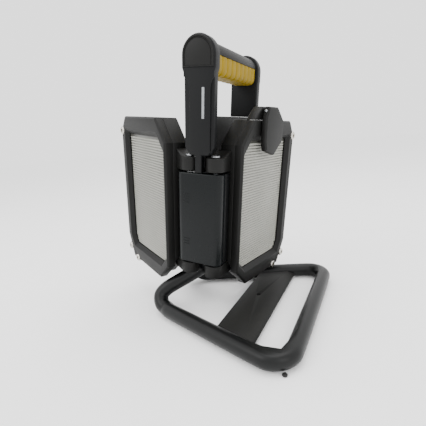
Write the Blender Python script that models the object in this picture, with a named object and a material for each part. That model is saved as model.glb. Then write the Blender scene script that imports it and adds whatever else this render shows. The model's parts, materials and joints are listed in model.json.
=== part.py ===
# Folding two-panel work light on a bent-tube stand.
# Metres, +Z up. The stand rests on z = 0; the carrying frame leans TILT towards +X.
# Body frame: origin at the spine's front bottom centre, X right, Y back, Z up the spine.
# Head frame: origin on the head's hinge axis, u away from the hinge, v out of the lens, z up.
import math

import bmesh
import bpy
from mathutils import Matrix, Vector

MM = 0.001
GAP = 0.3

# Stand
TILT = math.radians(7.0)
BODY_Z = 75.5
TUBE_R = 10.0
TUBE_WALL = 1.6
WIDE_X = 126.0
WIDE_HALF = 122.7
ARM_SLOPE = 0.365
ARM_HALF_AT_0 = 76.7
STAND_MID_Y = 50.0
CORNER_R = 22.0
PIVOT_DROP = 11.0
LUG_R = 7.5
BOLT_R = 3.5

# Spine and carrying frame
SPINE_HALF = 28.0
SPINE_DEPTH = 26.0
SPINE_H = 108.0
CORE_HALF = 7.5
CORE_BACK = 138.0
CORE_TOP = 168.0
POST_HALF = 19.0
POST_WAIST = 17.4
POST_T = 12.0
CAP_Z = 224.5
FAR_POST_Y = 126.8
WALL = 2.5

# Heads
HINGE_X = 16.0
HINGE_Y = 12.0
LEFT_OPEN = math.radians(61.0)
RIGHT_OPEN = math.radians(11.0)
U_IN = 18.0
U_OUT = 148.0
Z_TOP = 165.0
Z_BOT = -39.5
BACK_V = -8.0
SPLIT_V = 12.5
FACE_V = 23.0
EAR_R = 11.0
PIN_R = 3.0
PIN_HEAD_R = 5.2
PIN_SEAT_R = 6.4
SCREWS = ((145.0, 146.0), (140.5, -25.0), (116.0, -37.0))

BODY = Matrix.Translation((0, 0, BODY_Z)) @ Matrix.Rotation(TILT, 4, "Y")
WORLD = Matrix.Identity(4)


def head_frame(side, angle):
    """Frame of a head: side is -1 for the left one and +1 for the right one."""
    s, c = math.sin(angle), math.cos(angle)
    m = Matrix.Identity(4)
    m.col[0] = (side * s, c, 0, 0)
    m.col[1] = (side * c, -s, 0, 0)
    m.col[3] = (side * HINGE_X, HINGE_Y, 0, 1)
    return BODY @ m


HEAD_SIDE = {"left": -1, "right": 1}
HEADS = {"left": head_frame(-1, LEFT_OPEN), "right": head_frame(1, RIGHT_OPEN)}

for old in list(bpy.data.objects):
    bpy.data.objects.remove(old)

MATERIALS = {}


def material(name, color, rough=0.5, metal=0.0, alpha=1.0):
    m = bpy.data.materials.new(name)
    m.use_nodes = True
    b = m.node_tree.nodes["Principled BSDF"]
    b.inputs["Base Color"].default_value = (*color, 1)
    b.inputs["Roughness"].default_value = rough
    b.inputs["Metallic"].default_value = metal
    b.inputs["Alpha"].default_value = alpha
    m.diffuse_color = (*color, alpha)
    MATERIALS[name] = m


material("black_plastic", (0.012, 0.013, 0.014), 0.42)
material("grey_plastic", (0.035, 0.035, 0.034), 0.5)
material("satin_cover", (0.010, 0.012, 0.012), 0.3)
material("yellow_grip", (0.55, 0.34, 0.01), 0.55)
material("lens_plastic", (0.45, 0.45, 0.42), 0.25, 0.0, 0.6)
material("tube_coat", (0.02, 0.021, 0.021), 0.4)
material("crossbar_plastic", (0.045, 0.046, 0.044), 0.6)
material("rubber", (0.015, 0.015, 0.015), 0.8)
material("nickel", (0.7, 0.69, 0.66), 0.25, 1.0)
material("steel", (0.45, 0.45, 0.45), 0.35, 1.0)
material("heat_sink", (0.6, 0.61, 0.62), 0.4, 1.0)
material("led_board", (0.75, 0.75, 0.72), 0.5)
material("driver_board", (0.02, 0.12, 0.05), 0.5)
material("battery_wrap", (0.05, 0.10, 0.25), 0.4)
material("port_socket", (0.05, 0.05, 0.05), 0.4)


def make(name, loops, frame, slot, pivot=None, ring=False):
    """Skin a list of loops (mm, in the given frame) into one closed mesh.

    With ring=True the last loop joins the first; otherwise both ends are capped."""
    bm = bmesh.new()
    rows = [[bm.verts.new(frame @ Vector(p)) for p in loop] for loop in loops]
    n = len(rows[0])
    spans = list(zip(rows, rows[1:]))
    if ring:
        spans.append((rows[-1], rows[0]))
    else:
        bm.faces.new(rows[0])
        bm.faces.new(rows[-1])
    for a, b in spans:
        for i in range(n):
            j = (i + 1) % n
            bm.faces.new((a[i], a[j], b[j], b[i]))
    bmesh.ops.recalc_face_normals(bm, faces=bm.faces)
    if bm.calc_volume(signed=True) < 0:
        bmesh.ops.reverse_faces(bm, faces=bm.faces)
    at = frame @ Vector(pivot) if pivot else Vector((0, 0, 0))
    for v in bm.verts:
        v.co = (v.co - at) * MM
    mesh = bpy.data.meshes.new(name)
    bm.to_mesh(mesh)
    bm.free()
    mesh.materials.append(MATERIALS[slot])
    obj = bpy.data.objects.new(name, mesh)
    obj.location = at * MM
    bpy.context.scene.collection.objects.link(obj)
    return obj


def inset(outline, d):
    """Move every edge of a closed outline inwards by d, mitred at the corners."""
    following = outline[1:] + outline[:1]
    area = sum(p[0] * q[1] - q[0] * p[1] for p, q in zip(outline, following))
    turn = 1 if area > 0 else -1
    out = []
    for i, corner in enumerate(outline):
        p = Vector(corner)
        a = (p - Vector(outline[i - 1])).normalized()
        b = (Vector(following[i]) - p).normalized()
        na = Vector((-a.y, a.x)) * turn
        nb = Vector((-b.y, b.x)) * turn
        k = 1 + na.dot(nb)
        out.append(tuple(p + (na + nb) * (d / max(k, 0.2))))
    return out


PLANES = {
    "xy": lambda p, h: (p[0], p[1], h),
    "xz": lambda p, h: (p[0], h, p[1]),
    "yz": lambda p, h: (h, p[0], p[1]),
}


def lift(outline, plane, h):
    return [PLANES[plane](p, h) for p in outline]


def slab(name, outline, plane, lo, hi, frame, slot, bevel=0.0, pivot=None):
    """A plate with the given outline, from lo to hi across its plane, with bevelled rims."""
    if bevel:
        small = inset(outline, bevel)
        loops = [
            lift(small, plane, lo),
            lift(outline, plane, lo + bevel),
            lift(outline, plane, hi - bevel),
            lift(small, plane, hi),
        ]
    else:
        loops = [lift(outline, plane, lo), lift(outline, plane, hi)]
    return make(name, loops, frame, slot, pivot)


def tray(name, outline, plane, floor, rim, frame, slot, bevel=1.5, pivot=None):
    """An open box: closed at floor, open at rim, with a wall WALL thick."""
    s = 1 if rim > floor else -1
    inner = inset(outline, WALL)
    loops = [
        lift(inset(outline, bevel), plane, floor),
        lift(outline, plane, floor + s * bevel),
        lift(outline, plane, rim),
        lift(inner, plane, rim),
        lift(inner, plane, floor + s * WALL),
    ]
    return make(name, loops, frame, slot, pivot)


def rect(x0, x1, y0, y1):
    return [(x0, y0), (x1, y0), (x1, y1), (x0, y1)]


def circle(cx, cy, r, n=24):
    angles = [2 * math.pi * i / n for i in range(n)]
    return [(cx + r * math.cos(a), cy + r * math.sin(a)) for a in angles]


def arc(cx, cy, r, first, last, steps):
    """Points on a circular arc; first and last are counted in quarter turns."""
    angles = [math.pi / 2 * (first + (last - first) * i / steps) for i in range(steps + 1)]
    return [(cx + r * math.cos(a), cy + r * math.sin(a)) for a in angles]


def cut(target, cutter):
    """Subtract a helper solid, which stays out of the finished part."""
    cutter.hide_render = True
    cutter.display_type = "WIRE"
    m = target.modifiers.new("cut_" + cutter.name, "BOOLEAN")
    m.operation = "DIFFERENCE"
    m.solver = "EXACT"
    m.object = cutter


# ---------------------------------------------------------------- stand

def arm_half(x):
    """Half the distance between the two floor arms at x."""
    return ARM_HALF_AT_0 + ARM_SLOPE * x


def fillet(a, corner, b, r, steps=8):
    """Arc of radius r that rounds a corner between two straight runs."""
    u = (Vector(a) - Vector(corner)).normalized()
    v = (Vector(b) - Vector(corner)).normalized()
    half = u.angle(v) / 2
    reach = r / math.tan(half)
    centre = Vector(corner) + (u + v).normalized() * (r / math.sin(half))
    p0 = (Vector(corner) + u * reach - centre).normalized()
    p1 = (Vector(corner) + v * reach - centre).normalized()
    return [centre + p0.slerp(p1, i / steps) * r for i in range(steps + 1)]


def smooth(points, per=5):
    """Catmull-Rom curve through the given points."""
    pts = [Vector(p) for p in points]
    pts = [2 * pts[0] - pts[1]] + pts + [2 * pts[-1] - pts[-2]]
    out = []
    for i in range(1, len(pts) - 2):
        p0, p1, p2, p3 = pts[i - 1:i + 3]
        for k in range(per):
            t = k / per
            out.append(0.5 * (2 * p1 + (p2 - p0) * t + (2 * p0 - 5 * p1 + 4 * p2 - p3) * t ** 2
                              + (3 * p1 - p0 - 3 * p2 + p3) * t ** 3))
    return out + [pts[-2]]


def swept(path, r, n=20):
    """Circles of radius r carried along a path without twist."""
    loops = []
    normal = None
    for i, p in enumerate(path):
        t = (path[min(i + 1, len(path) - 1)] - path[max(i - 1, 0)]).normalized()
        if normal is None:
            normal = t.cross(Vector((0, 0, 1))).normalized()
        normal = (normal - t * normal.dot(t)).normalized()
        side = t.cross(normal)
        loops.append([p + normal * x + side * y for x, y in circle(0, 0, r, n)])
    return loops


near_corner = (WIDE_X, STAND_MID_Y - WIDE_HALF, TUBE_R)
arm_start = (-42.0, STAND_MID_Y - arm_half(-42.0), TUBE_R)
RISER_TOP = (-10.5, 35.0, 58.0)
riser = [RISER_TOP, (-20, 34, 51.5), (-32, 29, 44.5), (-45, 21, 37.5), (-57, 12, 31.0),
         (-64, 4.5, 23), (-59.5, -2.5, 14), (-50, -6.5, 10.3), arm_start]
half_path = smooth(riser, 4)
corner_arc = fillet(arm_start, near_corner, (WIDE_X, STAND_MID_Y, TUBE_R), CORNER_R)
half_path += corner_arc
mirrored = [Vector((p.x, 2 * STAND_MID_Y - p.y, p.z)) for p in reversed(half_path)]
tube_path = half_path + mirrored
tube_skin = swept(tube_path, TUBE_R, 16) + swept(tube_path, TUBE_R - TUBE_WALL, 16)[::-1]
stand_tube = make("stand_tube", tube_skin, WORLD, "tube_coat", ring=True)

# Crossbar: a pressed channel between the floor arms with a low front flange.
profile = [(33, 6), (33, 12), (34, 13), (72.5, 13), (81.5, 8.5), (82, 7.5), (82, 5), (79, 5), (72, 6.5)]
ends = []
TUBE_ACROSS = TUBE_R * math.hypot(1, ARM_SLOPE)
for s in (-1, 1):
    reach = [arm_half(x) - TUBE_ACROSS - 0.4 for x, z in profile]
    ends.append([(x, STAND_MID_Y + s * half, z) for half, (x, z) in zip(reach, profile)])
crossbar = make("crossbar", ends, WORLD, "crossbar_plastic")
cut(crossbar, slab("crossbar_hole", circle(54.4, 57.9, 3.0), "xy", 0, 20, WORLD, "steel"))

# Rubber feet under the outer side of the tube at the two wide corners.
FOOT_OFFSET = 9.5
FOOT_H = 2.3
outwards = (Vector(near_corner) - corner_arc[4]).normalized()
wide_foot = corner_arc[4] + outwards * FOOT_OFFSET
near_foot = circle(wide_foot.x, wide_foot.y, 2.9, 12)
far_foot = [(x, 2 * STAND_MID_Y - y) for x, y in near_foot]
slab("foot_near", near_foot, "xy", 0, FOOT_H, WORLD, "rubber", 0.6)
slab("foot_far", far_foot, "xy", 0, FOOT_H, WORLD, "rubber", 0.6)

# Tilt pivot: two eye lugs on the tube ends, a clamping bolt with a knob at each side.
pivot = BODY @ Vector((0, 0, -PIVOT_DROP))
PIVOT = Matrix.Translation(pivot)


def eye_lug(name, y0, y1):
    """Flat eye plate from the tube's end face to the pivot, with a bolt hole."""
    n = 24
    tail = Vector((RISER_TOP[0] - pivot.x, RISER_TOP[2] - pivot.z))
    along = tail.normalized()
    across = Vector((-along.y, along.x))
    outer = []
    for i in range(n):
        a = 2 * math.pi * i / n
        d = along * math.cos(a) + across * math.sin(a)
        p = d * LUG_R
        if math.cos(a) > 0.5:
            p = along * (tail.length - 0.6) + across * (LUG_R * math.sin(a) * 0.8)
        outer.append((p.x, p.y))
    bore = BOLT_R + 0.1
    first = math.atan2(along.y, along.x)
    turns = [first + 2 * math.pi * i / n for i in range(n)]
    hole = [(bore * math.cos(a), bore * math.sin(a)) for a in turns]
    loops = [lift(outer, "xz", y0), lift(outer, "xz", y1), lift(hole, "xz", y1), lift(hole, "xz", y0)]
    return make(name, loops, PIVOT, "steel", (0, 0, 0), ring=True)


eye_lug("near_lug", 32.0, 37.4)
eye_lug("far_lug", 62.6, 68.0)
slab("pivot_bolt", circle(0, 0, BOLT_R), "xz", 31.9, 68.1, PIVOT, "steel", 0.5, (0, 0, 0))
KNOB_R = 7.0
KNOB_GRIPS = 12
knob = []
for i in range(3 * KNOB_GRIPS):
    a = 2 * math.pi * i / (3 * KNOB_GRIPS)
    r = KNOB_R * (1 + 0.05 * math.cos(KNOB_GRIPS * a))
    knob.append((r * math.cos(a), r * math.sin(a)))
slab("near_knob", knob, "xz", 24.5, 31.6, PIVOT, "black_plastic", 1.0, (0, 0, 0))
slab("far_knob", knob, "xz", 68.4, 75.5, PIVOT, "black_plastic", 1.0, (0, 0, 0))

# ---------------------------------------------------------------- carrying frame

# Pivot block under the frame: carries the bolt between the two lugs.
BLOCK_HALF = 7.2
BLOCK_MID_Z = -10.15
BLOCK_HALF_H = 9.85
BLOCK_Y = (37.8, 62.2)
BLOCK_SIDES = 24
block_outer = []
block_bore = []
for i in range(BLOCK_SIDES):
    a = math.pi * (2 * i + 1) / BLOCK_SIDES
    c, s = math.cos(a), math.sin(a)
    k = 1 / max(abs(c), abs(s))
    block_outer.append((BLOCK_HALF * c * k, BLOCK_MID_Z + BLOCK_HALF_H * s * k))
    block_bore.append(((BOLT_R + 0.08) * c, -PIVOT_DROP + (BOLT_R + 0.08) * s))
block_loops = [lift(block_outer, "xz", y) for y in BLOCK_Y]
block_loops += [lift(block_bore, "xz", y) for y in reversed(BLOCK_Y)]
make("pivot_block", block_loops, BODY, "black_plastic", ring=True)

# Spine: front cover with rounded vertical corners, and the housing behind it.
COVER_CORNER_R = 8.0
corner_x = SPINE_HALF - COVER_CORNER_R
cover_out = [(-SPINE_HALF, 12.85)]
cover_out += arc(-corner_x, COVER_CORNER_R, COVER_CORNER_R, 2, 3, 6)
cover_out += arc(corner_x, COVER_CORNER_R, COVER_CORNER_R, 3, 4, 6)
cover_out += [(SPINE_HALF, 12.85)]
cover = slab("spine_cover", cover_out, "xy", 0, SPINE_H, BODY, "satin_cover", 0.8)
cavity = [(-25.5, 14), (-25.5, 7), (-20, 2.5), (20, 2.5), (25.5, 7), (25.5, 14)]
cut(cover, slab("cover_cavity", cavity, "xy", WALL, SPINE_H - WALL, BODY, "steel"))
housing_face = rect(-SPINE_HALF, SPINE_HALF, 0, SPINE_H)
tray("spine_housing", housing_face, "xz", SPINE_DEPTH, 13.15, BODY, "black_plastic")
slab("driver_board", rect(-21, 21, 10, 98), "xz", 12.0, 13.6, BODY, "driver_board")

# Frame core: two half shells on the middle plane, wrapped around the battery pack.
core = [
    (26.3, 0), (CORE_BACK, 0), (CORE_BACK, CORE_TOP),
    (12.3, CORE_TOP), (12.3, 127.5), (26.3, 127.5),
]
core_left = tray("core_left", core, "yz", -CORE_HALF, -0.15, BODY, "grey_plastic")
core_right = tray("core_right", core, "yz", CORE_HALF, 0.15, BODY, "grey_plastic")
button_hole = slab("button_hole", circle(0, 120, 5.3), "xz", 130, 145, BODY, "steel")
port_hole = slab("port_hole", rect(-5.3, 5.3, 39, 47), "xz", 130, 145, BODY, "steel")
for half in (core_left, core_right):
    cut(half, button_hole)
    cut(half, port_hole)
slab("battery_pack", rect(42, 118, 18, 122), "yz", -4.6, 4.6, BODY, "battery_wrap", 1.5)
slab("charge_port", rect(-5, 5, 39.3, 46.7), "xz", 126, 137.5, BODY, "port_socket", 0.3)
slab("power_button", circle(0, 120, 5.0), "xz", 128, 139.8, BODY, "rubber", 0.8, (0, 133, 120))
slab("port_cover", rect(-7, 7, 35, 50), "xz", 138.3, 140.3, BODY, "rubber", 0.6, (0, 139.3, 50.0))


def post_outline(z0, neck=None, waist=POST_WAIST):
    """Round-topped post seen from the front, with an optional narrow foot."""
    pts = arc(0, CAP_Z, POST_HALF, 0, 2, 16)
    left = [(-POST_HALF, 213), (-waist, 209)]
    foot = [(-waist, z0), (waist, z0)]
    if neck:
        foot = [(-waist, z0 + 8), (-12, z0), (-neck, z0), (-neck, SPINE_H + GAP)]
        foot += [(-x, z) for x, z in reversed(foot)]
    return pts + left + foot + [(-x, z) for x, z in reversed(left)]


slab("near_post", post_outline(127.5, 4.0), "xz", 0, POST_T, BODY, "black_plastic", 1.2)
far_outline = post_outline(CORE_TOP + GAP, waist=18.6)
far_back = FAR_POST_Y + POST_T
slab("far_post", far_outline, "xz", FAR_POST_Y, far_back, BODY, "black_plastic", 1.2)
CAP_R = 16.6
CAP_T = 1.5
cap = arc(0, CAP_Z, CAP_R, 0, 2, 16) + [(-CAP_R, 214.5), (CAP_R, 214.5)]
slab("near_cap", cap, "xz", -CAP_T, -GAP, BODY, "grey_plastic", 0.4)
slab("far_cap", cap, "xz", far_back + GAP, far_back + CAP_T, BODY, "grey_plastic", 0.4)

# Grip: dark bar over a ribbed yellow insert that fills the palm side.
BAR_HALF = 16.0
BAR_RISE = 13.7
INSERT_TOP = 226.0
bar = [(BAR_HALF * x, INSERT_TOP + GAP + BAR_RISE * z) for x, z in arc(0, 0, 1, 0, 2, 12)]
slab("grip_bar", bar, "xz", 12.3, FAR_POST_Y - GAP, BODY, "black_plastic", 0.4)
under = [(-15.5, INSERT_TOP), (-15.5, 215)]
under += arc(-8.5, 214, 7, 2, 3, 4) + arc(8.5, 214, 7, 3, 4, 4)
under += [(15.5, 215), (15.5, INSERT_TOP)]
RIB_PITCH = 12.6
GRIP_START = 12.6
RIBS = 9
RIB_DEPTH = 1.2
grip_loops = []
for k in range(RIBS):
    start = GRIP_START + k * RIB_PITCH
    for along, depth in ((0, RIB_DEPTH), (1.5, 0), (9.5, 0), (11, RIB_DEPTH)):
        narrow = 1 - depth / 16
        shallow = 1 - depth / 19
        shape = [(x * narrow, INSERT_TOP - (INSERT_TOP - z) * shallow) for x, z in under]
        grip_loops.append(lift(shape, "xz", start + along))
make("grip_insert", grip_loops, BODY, "yellow_grip")

# ---------------------------------------------------------------- heads

def octagon(u0, u1, z0, z1, in_top, in_bot, out_top, out_bot):
    """Panel outline with four clipped corners, each given as (along u, along z)."""
    return [
        (u0 + in_bot[0], z0), (u1 - out_bot[0], z0), (u1, z0 + out_bot[1]), (u1, z1 - out_top[1]),
        (u1 - out_top[0], z1), (u0 + in_top[0], z1), (u0, z1 - in_top[1]), (u0, z0 + in_bot[1]),
    ]


housing_out = octagon(U_IN, U_OUT, Z_BOT, Z_TOP, (24, 27), (34, 34), (13, 18), (18, 34))
open_out = octagon(21.6, 136.5, -21.0, 148.5, (18, 20.5), (15, 15), (3, 3), (10, 16))
bezel_out = octagon(U_IN, U_OUT, Z_BOT, Z_TOP, (24, 27), (24, 24), (13, 18), (18, 34))
lens_out = octagon(24.0, 132.0, -15.4, 142.8, (17, 18.7), (13.9, 13.5), (1, 1), (8, 12))
board_out = octagon(30.0, 120.0, -8, 136, (17, 18.7), (24, 24), (6, 6), (9, 8))


def ear(name, frame, z0, z1, chamfer, shoulder=0.0):
    """Hinge knuckle and the arm that carries it from the housing's side.

    The arm's top may rise by shoulder towards the housing; a flat seat stays for the pin's head."""
    n = 24
    outer = []
    for i in range(n):
        a = 2 * math.pi * i / n + math.pi / n
        if math.cos(a) > 0.2:
            t = (math.sin(a) + 0.98) / 1.96
            outer.append((None, BACK_V + 0.5 + t * 16.0))
        else:
            outer.append((EAR_R * math.cos(a), EAR_R * math.sin(a)))
    bore = PIN_R + 0.08
    turns = [math.pi * (2 * i + 1) / n for i in range(n)]
    hole = [(bore * math.cos(a), bore * math.sin(a)) for a in turns]

    def level(z, rise=0.0):
        reach = U_IN - GAP
        low = Z_BOT + 34 - z
        if chamfer and low > 0:
            reach = U_IN + low - 0.45
        return [(reach, p[1], z + rise) if p[0] is None else (p[0], p[1], z) for p in outer]

    seat = [(PIN_SEAT_R * math.cos(a), PIN_SEAT_R * math.sin(a)) for a in turns]
    loops = [level(z0)]
    if chamfer:
        loops.append(level(Z_BOT + 34))
    loops += [level(z1, shoulder), lift(seat, "xy", z1)]
    loops += [lift(hole, "xy", z1), lift(hole, "xy", z0)]
    return make(name, loops, frame, "black_plastic", (0, 0, 0), ring=True)


HINGE = (0, 0, 0)
for side, frame in HEADS.items():
    tray(side + "_housing", housing_out, "xz", BACK_V, SPLIT_V, frame, "grey_plastic", 2.2, HINGE)
    ear(side + "_upper_ear", frame, 110.0, 125.0, False, 7.0)
    ear(side + "_lower_ear", frame, -17.0, -2.0, True)
    slab(side + "_heat_sink", board_out, "xz", -1.2, 2.5, frame, "heat_sink", pivot=HINGE)
    slab(side + "_led_board", inset(board_out, 2), "xz", 2.8, 4.4, frame, "led_board", pivot=HINGE)
    slab(side + "_lens", inset(lens_out, -2.0), "xz", 13.2, 16.2, frame, "lens_plastic", pivot=HINGE)
    small = inset(bezel_out, 2.0)
    step = inset(lens_out, -2.4)
    bezel = make(side + "_bezel", [
        lift(bezel_out, "xz", 12.8), lift(bezel_out, "xz", FACE_V - 2.0), lift(small, "xz", FACE_V),
        lift(open_out, "xz", FACE_V), lift(lens_out, "xz", 18.0),
        lift(lens_out, "xz", 16.5), lift(step, "xz", 16.5), lift(step, "xz", 12.8),
    ], frame, "grey_plastic", HINGE, ring=True)
    for k, (u, z) in enumerate(SCREWS):
        head = circle(u, z, 5.6)
        slab(f"{side}_screw_{k + 1}", head, "xz", 16.3, FACE_V + 1.4, frame, "nickel", 0.9, HINGE)
        cut(bezel, slab(f"{side}_pocket_{k + 1}", circle(u, z, 5.9), "xz", 16.0, 30, frame, "steel"))
    hinge_x = HEAD_SIDE[side] * HINGE_X
    for level, shank, head in (("upper", (108.3, 125.3), 127.0), ("lower", (-0.3, -17.3), -19.0)):
        disc = circle(hinge_x, HINGE_Y, PIN_R, n=16)
        wide = circle(hinge_x, HINGE_Y, PIN_HEAD_R, n=16)
        loops = [lift(disc, "xy", z) for z in shank]
        loops += [lift(wide, "xy", shank[1]), lift(wide, "xy", head)]
        make(f"{side}_{level}_pin", loops, BODY, "steel", (hinge_x, HINGE_Y, 0))

# Latch: a fixed housing on the right head's top edge, and a plate that flips up in front of it.
RIGHT = HEADS["right"]
LATCH_PIN = (27.3, 175.5)
LATCH = (80.0, *LATCH_PIN)
saddle = [(42, Z_TOP + GAP), (97, Z_TOP + GAP), (81, 180), (59, 180)]
slab("latch_housing", saddle, "xz", 9.0, 22.0, RIGHT, "grey_plastic", 1.2, HINGE)
hexagon = [
    (57, 131), (78, 125), (98, 141), (98, 165),
    (81, 180), (59, 180), (54, 168), (54, 142),
]
plate = slab("latch_plate", hexagon, "xz", 23.6, 31.0, RIGHT, "grey_plastic", 1.6, LATCH)
cut(plate, slab("latch_bore", circle(*LATCH_PIN, 1.7, 16), "yz", 45.0, 120.0, RIGHT, "steel"))
slab("latch_pin", circle(*LATCH_PIN, 1.62, 16), "yz", 56.0, 88.0, RIGHT, "steel", 0.3, LATCH)
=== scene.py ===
import json
import math

import bmesh
import bpy
from mathutils import Matrix, Vector


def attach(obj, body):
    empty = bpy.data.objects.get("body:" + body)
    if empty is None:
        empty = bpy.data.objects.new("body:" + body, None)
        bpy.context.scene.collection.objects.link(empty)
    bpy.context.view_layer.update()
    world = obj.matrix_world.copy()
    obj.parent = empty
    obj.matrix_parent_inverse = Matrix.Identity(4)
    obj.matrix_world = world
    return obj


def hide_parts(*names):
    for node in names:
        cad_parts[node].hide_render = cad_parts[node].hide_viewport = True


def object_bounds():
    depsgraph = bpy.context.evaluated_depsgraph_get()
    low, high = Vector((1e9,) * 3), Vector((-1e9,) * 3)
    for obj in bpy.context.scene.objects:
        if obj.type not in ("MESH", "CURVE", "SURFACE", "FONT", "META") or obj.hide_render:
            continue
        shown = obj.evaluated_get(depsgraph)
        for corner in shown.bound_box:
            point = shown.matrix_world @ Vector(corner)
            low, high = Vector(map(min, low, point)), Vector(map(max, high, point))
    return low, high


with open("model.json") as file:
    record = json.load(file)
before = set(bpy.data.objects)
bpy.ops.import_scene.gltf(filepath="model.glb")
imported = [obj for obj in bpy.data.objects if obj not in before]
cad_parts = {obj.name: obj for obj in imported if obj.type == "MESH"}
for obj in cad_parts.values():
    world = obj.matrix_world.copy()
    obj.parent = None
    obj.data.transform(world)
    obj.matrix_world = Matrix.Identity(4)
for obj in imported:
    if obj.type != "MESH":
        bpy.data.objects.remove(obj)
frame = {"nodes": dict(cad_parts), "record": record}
cad_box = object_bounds()
MM = 0.001

# ---------------------------------------------------------------------------
# Stand tube: one length of 20 mm steel tube, bent cold into a wide open loop whose two ends
# curl back up under the lamp. It is powder coated black after bending, so the coat is even,
# satin, and very slightly dimpled.

bodies = frame["record"]["behaviour"]["bodies"]
owner = {node: body for body, nodes in bodies.items() for node in nodes}


def linear(hex_code):
    """An sRGB hex colour as the linear values a shader takes."""
    channels = [int(hex_code[i:i + 2], 16) / 255 for i in (1, 3, 5)]
    return [c / 12.92 if c <= 0.04045 else ((c + 0.055) / 1.055) ** 2.4 for c in channels] + [1.0]


def add(tree, kind, settings=None, **inputs):
    """One node with its settings and inputs; an input is named, or numbered as i0, i1 and so on."""
    node = tree.nodes.new(kind)
    for key, value in (settings or {}).items():
        setattr(node, key, value)
    for key, value in inputs.items():
        socket = node.inputs[int(key[1:])] if key[1:].isdigit() else node.inputs[key.replace("_", " ")]
        if isinstance(value, bpy.types.NodeSocket):
            tree.links.new(value, socket)
        else:
            socket.default_value = value
    return node


def start_material(name, **sockets):
    """A new material with its shader's own sockets set, and Object coordinates in millimetres."""
    made = bpy.data.materials.new(name)
    made.use_nodes = True
    tree = made.node_tree
    shader = tree.nodes["Principled BSDF"]
    for key, value in sockets.items():
        shader.inputs[key.replace("_", " ")].default_value = value
    place = add(tree, "ShaderNodeTexCoord")
    scaled = add(tree, "ShaderNodeMapping", Vector=place.outputs["Object"], Scale=(1000, 1000, 1000))
    return made, tree, shader, scaled.outputs[0]


def tint(tree, shader, factor, dark, light):
    """Colour that drifts between two close shades."""
    ramp = add(tree, "ShaderNodeMix", {"data_type": "RGBA"}, i0=factor, i6=linear(dark), i7=linear(light))
    tree.links.new(ramp.outputs[2], shader.inputs["Base Color"])


def relief(tree, shader, height, distance, strength):
    """Fine bumps in a surface."""
    bump = add(tree, "ShaderNodeBump", Height=height, Distance=distance, Strength=strength)
    tree.links.new(bump.outputs[0], shader.inputs["Normal"])


def powder_coat(name, dark, light, rough):
    """Powder coat on steel: even colour, and an orange peel of about 1.5 mm that softens glints."""
    made, tree, shader, at = start_material(name, Roughness=rough, IOR=1.5, Specular_IOR_Level=0.22)
    patches = add(tree, "ShaderNodeTexNoise", Vector=at, Scale=0.04, Detail=3.0)
    tint(tree, shader, patches.outputs[0], dark, light)
    peel = add(tree, "ShaderNodeTexNoise", Vector=at, Scale=0.7, Detail=2.0)
    relief(tree, shader, peel.outputs[0], 0.0002, 0.25)
    return made


def adopt(obj, node, material=None):
    """Put a finished piece in place of a CAD node, on that node's body."""
    if material:
        obj.data.materials.clear()
        obj.data.materials.append(material)
    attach(obj, owner[node])
    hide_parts(node)
    return obj


def new_object(name, bm, smooth=35):
    """A new object from a bmesh, with edges kept sharp above the given angle in degrees."""
    mesh = bpy.data.meshes.new(name)
    bm.to_mesh(mesh)
    bm.free()
    mesh.shade_smooth()
    mesh.set_sharp_from_angle(angle=math.radians(smooth))
    obj = bpy.data.objects.new(name, mesh)
    bpy.context.scene.collection.objects.link(obj)
    return obj


def bake(obj, smooth=35):
    """Turn an object's modifiers into plain mesh."""
    graph = bpy.context.evaluated_depsgraph_get()
    mesh = bpy.data.meshes.new_from_object(obj.evaluated_get(graph))
    obj.modifiers.clear()
    obj.data = mesh
    mesh.shade_smooth()
    mesh.set_sharp_from_angle(angle=math.radians(smooth))
    return obj


def merged(node, name):
    """A copy of a CAD node with its loose triangles joined into whole faces."""
    bm = bmesh.new()
    bm.from_mesh(frame["nodes"][node].data)
    bmesh.ops.remove_doubles(bm, verts=bm.verts, dist=0.000005)
    bmesh.ops.dissolve_limit(bm, angle_limit=math.radians(1.0), verts=bm.verts, edges=bm.edges)
    return new_object(name, bm)


satin_coat = powder_coat("black satin powder coat", "#070808", "#0d0e0e", 0.36)
tube = merged("stand_tube", "bent_tube")
round_off = tube.modifiers.new("round", "SUBSURF")
round_off.levels = 1
round_off.render_levels = 1
adopt(bake(tube, 50), "stand_tube", satin_coat)

# ---------------------------------------------------------------------------
# Crossbar: a folded steel strip welded between the two floor arms, with a lower front lip and
# one hanging hole. Its coat is a duller, slightly browner grey than the tube's.

def rounded(obj, radius, steps=2, angle=28):
    """Round an object's edges, radius in millimetres."""
    edge = obj.modifiers.new("edge", "BEVEL")
    edge.width = radius * MM
    edge.segments = steps
    edge.limit_method = "ANGLE"
    edge.angle_limit = math.radians(angle)
    edge.use_clamp_overlap = True
    return bake(obj)


matte_coat = powder_coat("matte grey powder coat", "#0e0e0d", "#161614", 0.62)
adopt(rounded(merged("crossbar", "folded_crossbar"), 0.8), "crossbar", matte_coat)


# ---------------------------------------------------------------------------
# Feet: small moulded rubber pads under the wide corners. Rubber is dull and picks up dust, so
# its colour is patchy and its surface finely pitted.

def moulded_rubber(name, dark, light, rough):
    """Moulded rubber: dull, dusty in patches and finely pitted."""
    made, tree, shader, at = start_material(name, Roughness=rough, IOR=1.5)
    dust = add(tree, "ShaderNodeTexNoise", Vector=at, Scale=0.12, Detail=5.0)
    tint(tree, shader, dust.outputs[0], dark, light)
    pits = add(tree, "ShaderNodeTexVoronoi", Vector=at, Scale=1.6)
    relief(tree, shader, pits.outputs[0], 0.0001, 0.3)
    return made


black_rubber = moulded_rubber("moulded black rubber", "#0d0d0d", "#171615", 0.75)
for side in ("near", "far"):
    adopt(rounded(merged(f"foot_{side}", f"rubber_foot_{side}"), 0.5), f"foot_{side}", black_rubber)


# ---------------------------------------------------------------------------
# Tilt pivot: pressed steel eyes on the tube ends, a zinc-plated bolt through them, and a
# moulded clamping knob on each side. Zinc plate is a slightly cloudy, bluish metal.

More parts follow.
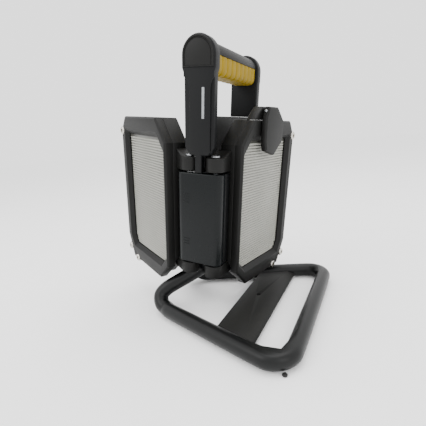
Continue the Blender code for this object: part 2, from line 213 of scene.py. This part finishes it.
def plated_metal(name, dark, light, rough, streaks):
    """Bare or plated metal: bright, with soft clouds in its tone; streaks is their fineness."""
    made, tree, shader, at = start_material(name, Metallic=1.0, Roughness=rough)
    cloud = add(tree, "ShaderNodeTexNoise", Vector=at, Scale=streaks, Detail=4.0)
    tint(tree, shader, cloud.outputs[0], dark, light)
    relief(tree, shader, cloud.outputs[0], 0.00005, 0.15)
    return made


def moulded_plastic(name, dark, light, rough, grain, depth):
    """Injection-moulded ABS with an eroded texture: grain is its pitch in millimetres."""
    made, tree, shader, at = start_material(name, Roughness=rough, IOR=1.5, Specular_IOR_Level=0.18)
    drift = add(tree, "ShaderNodeTexNoise", Vector=at, Scale=0.03, Detail=3.0)
    tint(tree, shader, drift.outputs[0], dark, light)
    spark = add(tree, "ShaderNodeTexNoise", Vector=at, Scale=1 / grain, Detail=3.0, Roughness=0.6)
    relief(tree, shader, spark.outputs[0], 0.00025, depth)
    shine = add(tree, "ShaderNodeMapRange", Value=spark.outputs[0], i3=rough - 0.06, i4=rough + 0.08)
    tree.links.new(shine.outputs[0], shader.inputs["Roughness"])
    return made


zinc = plated_metal("zinc-plated steel", "#8d9093", "#b4b6b8", 0.38, 0.3)
black_abs = moulded_plastic("black moulded ABS", "#030405", "#070809", 0.45, 0.9, 0.12)
for node in ("near_lug", "far_lug", "pivot_bolt"):
    adopt(rounded(merged(node, node.replace("lug", "eye")), 0.5), node, zinc)
for node in ("near_knob", "far_knob"):
    adopt(rounded(merged(node, node.replace("knob", "clamp_knob")), 0.8), node, black_abs)
adopt(rounded(merged("pivot_block", "pivot_carrier"), 0.8), "pivot_block", black_abs)

# ---------------------------------------------------------------------------
# Spine: the column the two heads swing from. A glossier front cover with rounded corners snaps
# over a rear housing with the driver board between them.

satin_abs = moulded_plastic("satin black moulded ABS", "#030607", "#06090a", 0.28, 1.4, 0.02)
adopt(rounded(merged("spine_cover", "spine_front_cover"), 0.9, 3), "spine_cover", satin_abs)
adopt(rounded(merged("spine_housing", "spine_rear_housing"), 0.8), "spine_housing", black_abs)

# Vent ridges: two short rows of fine moulded ribs on the left of the cover's face.

joints = {joint["name"]: joint for joint in frame["record"]["behaviour"]["joints"]}
lean_axis = Vector(joints["left_head_swing"]["axis"]).normalized()
across = Vector((0, 1, 0)).cross(lean_axis).normalized()
left_hinge = Vector(joints["left_head_swing"]["pos_m"])
right_hinge = Vector(joints["right_head_swing"]["pos_m"])
hinge_mid = (left_hinge + right_hinge) / 2
HINGE_DEPTH = 12 * MM
HINGE_MARK = 50 * MM
spine_foot = hinge_mid - lean_axis * HINGE_MARK - Vector((0, HINGE_DEPTH, 0))
body_frame = Matrix((
    (across.x, 0, lean_axis.x, spine_foot.x),
    (across.y, 1, lean_axis.y, spine_foot.y),
    (across.z, 0, lean_axis.z, spine_foot.z),
    (0, 0, 0, 1)))


def skin(name, loops, at, smooth=35):
    """Join loops of millimetre points, given in a local frame, into one closed shape."""
    bm = bmesh.new()
    rows = [[bm.verts.new(at @ (Vector(p) * MM)) for p in loop] for loop in loops]
    count = len(rows[0])
    bm.faces.new(rows[0])
    bm.faces.new(rows[-1])
    for a, b in zip(rows, rows[1:]):
        for i in range(count):
            j = (i + 1) % count
            bm.faces.new((a[i], a[j], b[j], b[i]))
    bmesh.ops.recalc_face_normals(bm, faces=bm.faces)
    return new_object(name, bm, smooth)


def block(name, low, high, at, radius=0.0):
    """A rounded block between two corners, in millimetres."""
    (x0, y0, z0), (x1, y1, z1) = low, high
    loops = [[(x0, y, z0), (x1, y, z0), (x1, y, z1), (x0, y, z1)] for y in (y0, y1)]
    made = skin(name, loops, at)
    return rounded(made, radius) if radius else made


def repeat_tree():
    """Places one item on every point of a mesh, turned one way, as plain mesh with one finish."""
    tree = bpy.data.node_groups.new("repeat on points", "GeometryNodeTree")
    face = tree.interface
    face.new_socket("Geometry", in_out="INPUT", socket_type="NodeSocketGeometry")
    face.new_socket("Item", in_out="INPUT", socket_type="NodeSocketObject")
    face.new_socket("Turn", in_out="INPUT", socket_type="NodeSocketVector")
    face.new_socket("Finish", in_out="INPUT", socket_type="NodeSocketMaterial")
    face.new_socket("Geometry", in_out="OUTPUT", socket_type="NodeSocketGeometry")
    given = add(tree, "NodeGroupInput")
    item = add(tree, "GeometryNodeObjectInfo", Object=given.outputs[1])
    spin = add(tree, "FunctionNodeEulerToRotation", Euler=given.outputs[2])
    placed = add(tree, "GeometryNodeInstanceOnPoints", Points=given.outputs[0],
                 Instance=item.outputs["Geometry"], Rotation=spin.outputs[0])
    real = add(tree, "GeometryNodeRealizeInstances", Geometry=placed.outputs[0])
    coated = add(tree, "GeometryNodeSetMaterial", Geometry=real.outputs[0], Material=given.outputs[3])
    out = add(tree, "NodeGroupOutput")
    tree.links.new(coated.outputs[0], out.inputs[0])
    return tree


repeat_on_points = repeat_tree()


def repeated(name, points, item, at, finish, smooth=35):
    """One mesh with the item at each millimetre point of a local frame."""
    bm = bmesh.new()
    for p in points:
        bm.verts.new(at @ (Vector(p) * MM))
    obj = new_object(name, bm)
    mod = obj.modifiers.new("repeat", "NODES")
    mod.node_group = repeat_on_points
    ids = {s.name: s.identifier for s in repeat_on_points.interface.items_tree if s.in_out == "INPUT"}
    mod[ids["Item"]] = item
    mod[ids["Turn"]] = at.to_3x3().to_euler()
    mod[ids["Finish"]] = finish
    bake(obj, smooth)
    bpy.data.objects.remove(item)
    return obj


RIDGE_X = -15
RIDGE_HEIGHTS = (84, 80.8, 77.6, 74.4, 30, 26.8, 23.6)
ridge = block("ridge", (-4.0, -0.45, -0.35), (4.0, 0.2, 0.35), Matrix(), 0.2)
ridge_spots = [(RIDGE_X, 0, z) for z in RIDGE_HEIGHTS]
ridges = repeated("vent_ridges", ridge_spots, ridge, body_frame, satin_abs)
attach(ridges, "frame")

# ---------------------------------------------------------------------------
# Frame core: two thin moulded half shells, screwed together around the battery pack. The
# seam between them runs all round the edge.

grey_abs = moulded_plastic("charcoal moulded ABS", "#0c0c0b", "#131312", 0.5, 0.8, 0.15)
for node in ("core_left", "core_right"):
    adopt(rounded(merged(node, node.replace("core", "core_shell")), 0.15), node, grey_abs)

# ---------------------------------------------------------------------------
# Near post: a thick moulded upright with a round head. Below the head both front edges are
# stepped back, which leaves a raised middle rib that flares into the head.

NOTCH_LOW = 118
NOTCH_HIGH = 192
FLARE_HEIGHT = 14
FLARE_EDGE = 20.0
NOTCH_OUTSIDE = 26
NOTCH_DEPTHS = (-3.0, 3.2)
post = merged("near_post", "near_upright")
cutters = []
for side, rib_edge in ((-1, 10.0), (1, 14.0)):
    flare = FLARE_EDGE - rib_edge
    edge = [(side * rib_edge, NOTCH_LOW), (side * rib_edge, NOTCH_HIGH)]
    for i in range(1, 7):
        a = i * math.pi / 12
        x = side * (rib_edge + flare * (1 - math.cos(a)))
        edge.append((x, NOTCH_HIGH + FLARE_HEIGHT * math.sin(a)))
    edge.append((side * NOTCH_OUTSIDE, NOTCH_HIGH + FLARE_HEIGHT))
    edge.append((side * NOTCH_OUTSIDE, NOTCH_LOW))
    cutters.append(skin("notch", [[(x, y, z) for x, z in edge] for y in NOTCH_DEPTHS], body_frame))
for cutter in cutters:
    notch = post.modifiers.new("notch", "BOOLEAN")
    notch.object = cutter
    notch.solver = "EXACT"
bake(post)
for cutter in cutters:
    bpy.data.objects.remove(cutter)
adopt(rounded(post, 0.8), "near_post", black_abs)

# Pale strip: a plain printed film bonded to the rib. Its grey is slightly banded and a little shiny.

film, tree, shader, at = start_material("pale printed polyester film", Roughness=0.35, IOR=1.6)
bands = add(tree, "ShaderNodeTexNoise", Vector=at, Scale=0.25, Detail=2.0)
tint(tree, shader, bands.outputs[0], "#6f7274", "#8f9294")
strip = block("pale_strip", (4.6, -0.25, 165), (7.4, 0.1, 195), body_frame, 0.1)
strip.data.materials.append(film)
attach(strip, "frame")


# ---------------------------------------------------------------------------
# Post caps: thin moulded covers pressed into the round heads, with a raised rim and a groove
# inside it. They are the charcoal of the heads, lighter than the post.

ARCH_MID = 224.5
ARCH_STEPS = 32
# Each level of the cap: radius, height of its flat bottom, height above the post's face.
CAP_LEVELS = (
    (17.6, 213.6, 0.0), (17.6, 213.6, 0.7), (17.1, 214.1, 1.2), (15.9, 214.6, 1.2),
    (15.3, 214.6, 0.2), (14.7, 214.6, 0.2), (14.2, 214.7, 0.7), (13.6, 215.3, 0.9),
)


def arch(radius, base, y):
    """Half circle over a straight base, seen from the front."""
    turns = [i * math.pi / ARCH_STEPS for i in range(ARCH_STEPS + 1)]
    points = [(radius * math.cos(a), y, ARCH_MID + radius * math.sin(a)) for a in turns]
    return points + [(-radius, y, base), (radius, y, base)]


for node, face, out in (("near_cap", -0.3, -1), ("far_cap", 139.1, 1)):
    loops = [arch(r, base, face + out * h) for r, base, h in CAP_LEVELS]
    adopt(skin(node + "_cover", loops, body_frame, 25), node, grey_abs)

adopt(rounded(merged("far_post", "far_upright"), 0.9), "far_post", black_abs)

# ---------------------------------------------------------------------------
# Grip bar: a hollow moulded bar between the posts, its top half bare ABS and its palm side a
# softer yellow insert with shallow ribs that is moulded over it.

adopt(rounded(merged("grip_bar", "grip_top"), 0.6, 2, 40), "grip_bar", grey_abs)

# Yellow elastomer: dull and faintly mottled, with a skin grain of about 1 mm.
soft_yellow, tree, shader, at = start_material(
    "yellow overmoulded TPE", Roughness=0.55, IOR=1.48, Specular_IOR_Level=0.15)
mottle = add(tree, "ShaderNodeTexNoise", Vector=at, Scale=0.1, Detail=4.0)
tint(tree, shader, mottle.outputs[0], "#725c00", "#8b7200")
skin_grain = add(tree, "ShaderNodeTexNoise", Vector=at, Scale=1.1, Detail=3.0)
relief(tree, shader, skin_grain.outputs[0], 0.0003, 0.3)

RIB_PITCH = 12.6
RIB_DEPTH = 1.5
RIB_SQUARENESS = 0.35
PALM_START, PALM_END = 12.7, 126.3
PALM_STEPS = 108
PALM_HALF, PALM_CORNER = 15.5, 7.0
SEAM_Z, PALM_Z = 226.0, 207.0
palm = [(-PALM_HALF, SEAM_Z), (-PALM_HALF, PALM_Z + PALM_CORNER)]
for i in range(1, 7):
    a = i * math.pi / 12
    x = -PALM_HALF + PALM_CORNER * (1 - math.cos(a))
    palm.append((x, PALM_Z + PALM_CORNER * (1 - math.sin(a))))
palm += [(-x, z) for x, z in reversed(palm)]
loops = []
for i in range(PALM_STEPS + 1):
    y = PALM_START + i * (PALM_END - PALM_START) / PALM_STEPS
    wave = abs(math.sin(math.pi * (y - PALM_START) / RIB_PITCH)) ** RIB_SQUARENESS
    inward = RIB_DEPTH * (1 - wave)
    narrow = 1 - inward / 16
    shallow = 1 - inward / 19
    loops.append([(x * narrow, y, SEAM_Z - (SEAM_Z - z) * shallow) for x, z in palm])
adopt(skin("ribbed_palm_insert", loops, body_frame, 50), "grip_insert", soft_yellow)

# ---------------------------------------------------------------------------
# Inside the frame: lithium pack in shrink wrap, green driver board, charge socket. The push
# button and the port cover on the back are rubber.

# Shrink wrap: glossy dark blue with soft creases, and painted shade that darkens the hollows of the
# creases.
wrap, tree, shader, at = start_material("blue PVC shrink wrap", Roughness=0.3, IOR=1.53)
creases_and_shade = add(tree, "ShaderNodeTexNoise", Vector=at, Scale=0.15, Detail=5.0)
tint(tree, shader, creases_and_shade.outputs[0], "#17305c", "#1e3c70")
relief(tree, shader, creases_and_shade.outputs[0], 0.0006, 0.4)

# Solder mask: dark green, with paler tracks under it.
mask, tree, shader, at = start_material("green solder mask", Roughness=0.35, IOR=1.5)
tracks = add(
    tree, "ShaderNodeTexBrick", Vector=at, Scale=0.2,
    Color1=linear("#0d4a22"), Color2=linear("#0b3f1d"), Mortar=linear("#1b6a35"))
tree.links.new(tracks.outputs[0], shader.inputs["Base Color"])
relief(tree, shader, tracks.outputs[1], 0.0001, 0.3)

adopt(rounded(merged("battery_pack", "lithium_pack"), 1.5), "battery_pack", wrap)
adopt(rounded(merged("driver_board", "driver_circuit"), 0.2), "driver_board", mask)
adopt(rounded(merged("charge_port", "charge_socket"), 0.3), "charge_port", satin_abs)
adopt(rounded(merged("power_button", "push_button"), 0.6), "power_button", black_rubber)
adopt(rounded(merged("port_cover", "port_flap"), 0.5), "port_cover", black_rubber)

# ---------------------------------------------------------------------------
# Hinge pins: turned steel pins with a flat head, one above and one below the spine on each
# side, plated like the tilt bolt.

for side in ("left", "right"):
    for level in ("upper", "lower"):
        node = f"{side}_{level}_pin"
        adopt(rounded(merged(node, f"{side}_{level}_hinge_pin"), 0.3), node, zinc)

# ---------------------------------------------------------------------------
# Lamp heads: each has a moulded rear housing with cooling grooves, two hinge knuckles, a front
# bezel that clamps the lens, and an LED board on a cast plate inside.

def head_axes(side):
    """Frame of a head, from its hinge and the way its lens faces: along, out, up."""
    joint = joints[f"{side}_head_swing"]
    hinge = Vector(joint["pos_m"]) - lean_axis * HINGE_MARK
    mesh = frame["nodes"][f"{side}_lens"].data
    out = max(mesh.polygons, key=lambda f: f.area).normal.copy()
    middle = sum((v.co for v in mesh.vertices), Vector()) / len(mesh.vertices) - hinge
    out = out if out.dot(middle) > 0 else -out
    along = lean_axis.cross(out).normalized()
    along = along if along.dot(middle) > 0 else -along
    m = Matrix.Identity(4)
    for i, axis in enumerate((along, out, lean_axis)):
        m.col[i] = (*axis, 0)
    m.col[3] = (*hinge, 1)
    return m


# Cast plate: dull grey metal. Board: warm white and faintly speckled. Chips: granular yellow.
cast_aluminium = plated_metal("cast aluminium", "#8f9091", "#a9aaab", 0.5, 0.8)
white_mask, tree, shader, at = start_material("white solder mask", Roughness=0.45, IOR=1.5)
speck = add(tree, "ShaderNodeTexNoise", Vector=at, Scale=0.3, Detail=4.0)
tint(tree, shader, speck.outputs[0], "#d9d9d2", "#ecece6")
phosphor, tree, shader, at = start_material("yellow LED phosphor", Roughness=0.4, IOR=1.41)
granule = add(tree, "ShaderNodeTexNoise", Vector=at, Scale=2.5, Detail=3.0)
tint(tree, shader, granule.outputs[0], "#c8b94a", "#dccf62")

# Lens: extruded polycarbonate with a grid of small prisms about 3.3 mm apart. It looks pale
# grey with the lamp off. The sheet between the prisms is painted darker, as painted shade in the narrow
# valleys.
prismatic, tree, shader, at = start_material("prismatic polycarbonate", Roughness=0.22, IOR=1.58)
haze = add(tree, "ShaderNodeTexNoise", Vector=at, Scale=0.02, Detail=3.0)
tint(tree, shader, haze.outputs[0], "#8c8c84", "#a0a098")
# Painted shade: the same polycarbonate in a darker colour, standing in for the shade in the valleys
# between the prisms.
shaded_polycarbonate, tree, shader, at = start_material("polycarbonate painted with shade between the prisms", Roughness=0.3, IOR=1.58)
shade_haze = add(tree, "ShaderNodeTexNoise", Vector=at, Scale=0.05, Detail=3.0)
tint(tree, shader, shade_haze.outputs[0], "#3c3c38", "#4e4e49")

nickel = plated_metal("nickel-plated steel", "#b3b0a8", "#d2cfc8", 0.25, 0.5)
PRISM_PITCH = 3.3
PRISM_START = (25.6, -13.6)
PRISM_HALF = PRISM_PITCH * 0.41
PRISM_TIP = 0.35
PRISM_HEIGHT = 1.3
PRISM_MARGIN = 1.5
LENS_FRONT = 16.2
LENS_EDGE = (
    (37.9, -15.4), (124, -15.4), (132, -3.4), (132, 141.8),
    (131, 142.8), (41, 142.8), (24, 124.1), (24, -1.9),
)
GROOVE_START, GROOVE_PITCH, GROOVE_WIDTH = 50, 10.5, 3.5
GROOVE_LOW, GROOVE_HIGH = 8, 132
GROOVE_COUNT = 9
CHIP_START = (40, 8)
CHIP_PITCH = 12
BOARD_FRONT = 4.4
SCREW_SPOTS = ((145.0, 146.0), (140.5, -25.0), (116.0, -37.0))
SCREW_SIDES = 36
HEXAGON = math.pi / 3
# Each level of a screw's head: radius, distance out, and whether the hexagon socket is cut there.
SCREW_LEVELS = (
    (5.5, 16.4, False), (5.5, 22.6, False), (5.2, 23.6, False), (4.4, 24.3, False),
    (3.0, 24.4, False), (2.6, 24.3, True), (2.4, 22.4, True),
)


def inside(u, z, margin):
    """True if a point lies in the lens opening, at least margin from each edge."""
    for (x0, y0), (x1, y1) in zip(LENS_EDGE, LENS_EDGE[1:] + LENS_EDGE[:1]):
        length = math.hypot(x1 - x0, y1 - y0)
        if ((x1 - x0) * (z - y0) - (y1 - y0) * (u - x0)) / length < margin:
            return False
    return True


for side in ("left", "right"):
    at_head = head_axes(side)

    # The two heads mirror each other, so one frame is left-handed. Its third axis is turned round,
    # and heights change sign with it, because only a right-handed frame can turn a copied item.
    flip = -1 if at_head.determinant() < 0 else 1
    turned = at_head.copy()
    turned.col[2] = turned.col[2] * flip

    housing = merged(f"{side}_housing", f"{side}_rear_housing")
    grooves = []
    for k in range(GROOVE_COUNT):
        near = GROOVE_START + k * GROOVE_PITCH
        far = near + GROOVE_WIDTH
        outline = [(near, GROOVE_LOW), (far, GROOVE_LOW), (far, GROOVE_HIGH), (near, GROOVE_HIGH)]
        loops = [[(x, y, z) for x, z in outline] for y in (-10.0, -6.9)]
        grooves.append(skin("groove", loops, at_head))
    for groove in grooves:
        channel = housing.modifiers.new("groove", "BOOLEAN")
        channel.object = groove
        channel.solver = "EXACT"
    bake(housing)
    for groove in grooves:
        bpy.data.objects.remove(groove)
    adopt(rounded(housing, 0.7), f"{side}_housing", grey_abs)

    for level in ("upper", "lower"):
        node = f"{side}_{level}_ear"
        adopt(rounded(merged(node, f"{side}_{level}_knuckle"), 2.2, 3), node, grey_abs)
    # The lens sheet gets the darker polycarbonate, which paints shade between the prisms.
    for part, title, radius, edge_steps, finish in (
        ("bezel", "front_bezel", 0.9, 3, grey_abs),
        ("heat_sink", "cast_plate", 0.4, 2, cast_aluminium),
        ("led_board", "emitter_board", 0.2, 2, white_mask),
        ("lens", "lens_sheet", 0.3, 2, shaded_polycarbonate),
    ):
        node = f"{side}_{part}"
        adopt(rounded(merged(node, f"{side}_{title}"), radius, edge_steps), node, finish)

    columns = int((132 - 24) / PRISM_PITCH)
    rows = int((142.8 + 15.4) / PRISM_PITCH)
    cells = []
    for i in range(columns):
        for j in range(rows):
            u = PRISM_START[0] + i * PRISM_PITCH
            z = PRISM_START[1] + j * PRISM_PITCH
            if inside(u, z, PRISM_MARGIN):
                cells.append((u, LENS_FRONT, flip * z))
    square = ((-1, -1), (1, -1), (1, 1), (-1, 1))
    base = [(x * PRISM_HALF, 0, z * PRISM_HALF) for x, z in square]
    top = [(x * PRISM_TIP, PRISM_HEIGHT, z * PRISM_TIP) for x, y, z in base]
    prism = skin("prism", [base, top], Matrix(), 10)
    prisms = repeated(f"{side}_lens_prisms", cells, prism, turned, prismatic, 10)
    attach(prisms, f"{side}_head")

    chip = block("chip", (-1.7, 0, -1.7), (1.7, 0.8, 1.7), Matrix(), 0.3)
    spots = []
    for i in range(7):
        for j in range(10):
            u = CHIP_START[0] + CHIP_PITCH * i
            z = CHIP_START[1] + CHIP_PITCH * j
            spots.append((u, BOARD_FRONT, flip * z))
    leds = repeated(f"{side}_led_chips", spots, chip, turned, phosphor)
    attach(leds, f"{side}_head")

    # Corner screws: nickel-plated pan heads with a hexagon socket, in scallops of the bezel.
    for k, (u, z) in enumerate(SCREW_SPOTS):
        loops = []
        for radius, v, hexed in SCREW_LEVELS:
            ring = []
            for i in range(SCREW_SIDES):
                a = 2 * math.pi * i / SCREW_SIDES
                r = radius
                if hexed:
                    r = radius * math.cos(HEXAGON / 2) / math.cos((a % HEXAGON) - HEXAGON / 2)
                ring.append((u + r * math.cos(a), v, z + r * math.sin(a)))
            loops.append(ring)
        screw = skin(f"{side}_corner_screw_{k + 1}", loops, at_head, 30)
        adopt(screw, f"{side}_screw_{k + 1}", nickel)

# ---------------------------------------------------------------------------
# Latch: a moulded housing over the top edge of the right head and a six-sided plate that flips
# up in front of it on a steel pin.

adopt(rounded(merged("latch_housing", "latch_saddle"), 1.4, 3), "latch_housing", grey_abs)
adopt(rounded(merged("latch_plate", "latch_cover"), 1.3, 3), "latch_plate", grey_abs)
adopt(rounded(merged("latch_pin", "latch_hinge_pin"), 0.2), "latch_pin", zinc)

# ---------------------------------------------------------------------------
# Studio: a plain pale floor, soft light from both sides and above, and the camera in front of the
# lamp, a little to its right and above, looking down at it.

floor_bm = bmesh.new()
bmesh.ops.create_grid(floor_bm, x_segments=1, y_segments=1, size=6.0)
floor = new_object("floor", floor_bm)
floor.location = (0, 0, -0.0005)
paper, tree, shader, at = start_material("matte white paper", Roughness=0.9)
fibre = add(tree, "ShaderNodeTexNoise", Vector=at, Scale=0.02, Detail=2.0)
tint(tree, shader, fibre.outputs[0], "#fbfbfb", "#ffffff")
floor.data.materials.append(paper)

world = bpy.data.worlds.new("studio")
bpy.context.scene.world = world
world.use_nodes = True
world.node_tree.nodes["Background"].inputs["Color"].default_value = (1, 1, 1, 1)
world.node_tree.nodes["Background"].inputs["Strength"].default_value = 2.0

target = sum(cad_box, Vector()) / 2
for name, place, size, power in (
    ("key", (-0.9, -1.0, 1.3), 0.9, 10.0),
    ("fill", (1.2, -0.9, 0.9), 0.8, 5.0),
    ("top", (0.1, 0.3, 1.6), 1.2, 14.0),
):
    lamp = bpy.data.lights.new(name, "AREA")
    lamp.size = size
    lamp.energy = power
    holder = bpy.data.objects.new(name, lamp)
    holder.location = place
    holder.rotation_euler = (target - Vector(place)).to_track_quat("-Z", "Y").to_euler()
    bpy.context.scene.collection.objects.link(holder)

YAW = math.radians(24.0)
PITCH = math.radians(19.4)
ROLL = math.radians(1.7)
CAMERA_AT = (0.174, -0.3174, 0.1668, 1)
level_back = Vector((math.sin(YAW), -math.cos(YAW), 0))
back = level_back * math.cos(PITCH) + Vector((0, 0, math.sin(PITCH)))
right = Vector((math.cos(YAW), math.sin(YAW), 0))
upward = back.cross(right)
lens_right = right * math.cos(ROLL) + upward * math.sin(ROLL)
lens_up = upward * math.cos(ROLL) - right * math.sin(ROLL)
view = Matrix.Identity(4)
for i, axis in enumerate((lens_right, lens_up, back)):
    view.col[i] = (*axis, 0)
view.col[3] = CAMERA_AT
camera = bpy.data.objects.new("camera", bpy.data.cameras.new("camera"))
camera.matrix_world = body_frame @ view
camera.data.sensor_width = 36
camera.data.lens = 27.72
camera.data.shift_x = -0.0237
camera.data.shift_y = 0.0472
camera.data.clip_start = 0.02
bpy.context.scene.collection.objects.link(camera)
bpy.context.scene.camera = camera
